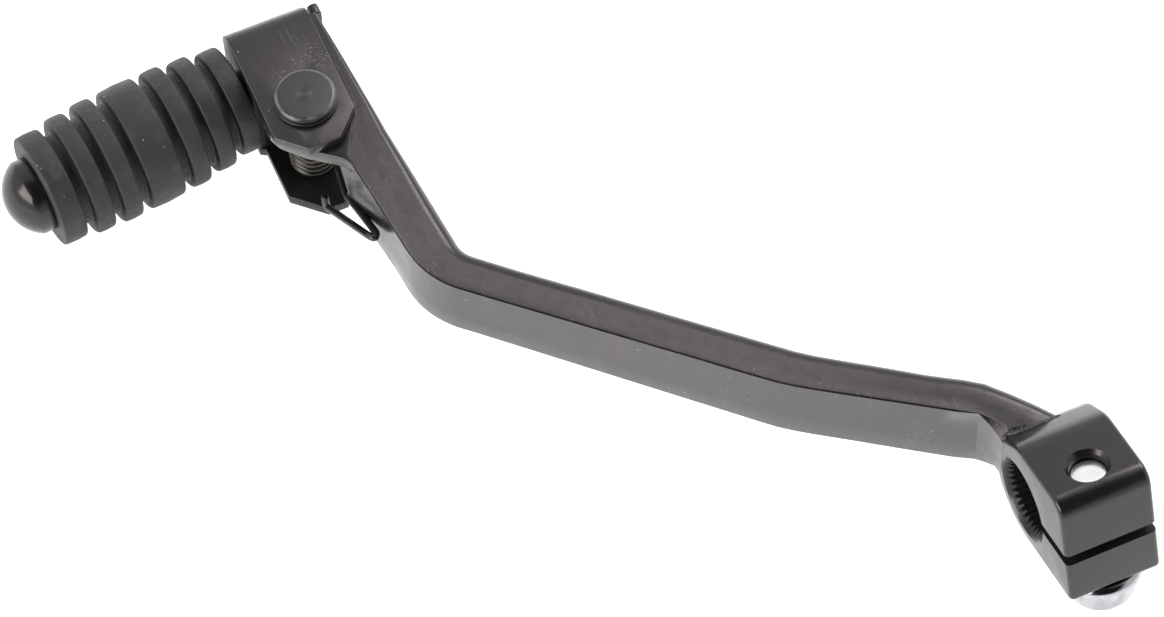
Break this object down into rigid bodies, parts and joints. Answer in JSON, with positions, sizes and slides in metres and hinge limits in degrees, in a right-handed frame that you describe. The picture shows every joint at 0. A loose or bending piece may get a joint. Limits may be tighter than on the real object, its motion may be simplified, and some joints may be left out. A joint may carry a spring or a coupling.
{
  "type": "gear shift lever",
  "caption": "Bent motorcycle gear shift lever with a splined pinch clamp at one end and a spring-loaded folding toe tip with a ribbed rubber sleeve at the other.",
  "frame": {"origin": "centre of the splined bore, on its axis and half way along it", "axes": "+Y along the spindle axis towards the engine; +Z parallel to the hinge rivet, upwards; the arm runs towards -X"},
  "size_m": [0.1481, 0.1411, 0.0288],
  "materials": {
    "arm_paint": "satin black paint over forged steel",
    "boss_paint": "satin black paint over forged steel",
    "weld_paint": "satin black paint over a rough bead",
    "bolt_zinc": "bright plated steel",
    "bracket_paint": "satin black paint, scuffed",
    "rivet_steel": "satin black paint with faint turning marks",
    "spring_steel": "oiled drawn wire",
    "stud_steel": "smooth black steel",
    "sleeve_rubber": "matte moulded rubber"
  },
  "bodies": {
    "lever": {"lever_arm": "arm_paint", "spline_boss": "boss_paint", "boss_weld": "weld_paint", "pinch_bolt": "bolt_zinc"},
    "toe_tip": {"tip_bracket": "bracket_paint", "hinge_rivet": "rivet_steel", "torsion_spring": "spring_steel", "peg_stud": "stud_steel", "peg_rubber": "sleeve_rubber"}
  },
  "joints": [
    {"name": "tip_fold", "type": "hinge", "parent": "lever", "child": "toe_tip", "pos_m": [-0.1086, -0.0832, 0], "axis": [0, 0, 1], "range_deg": [0, 90], "stiffness_Nm_per_rad": 0.06, "springref_deg": -51.57, "deforming": ["torsion_spring"]}
  ]
}
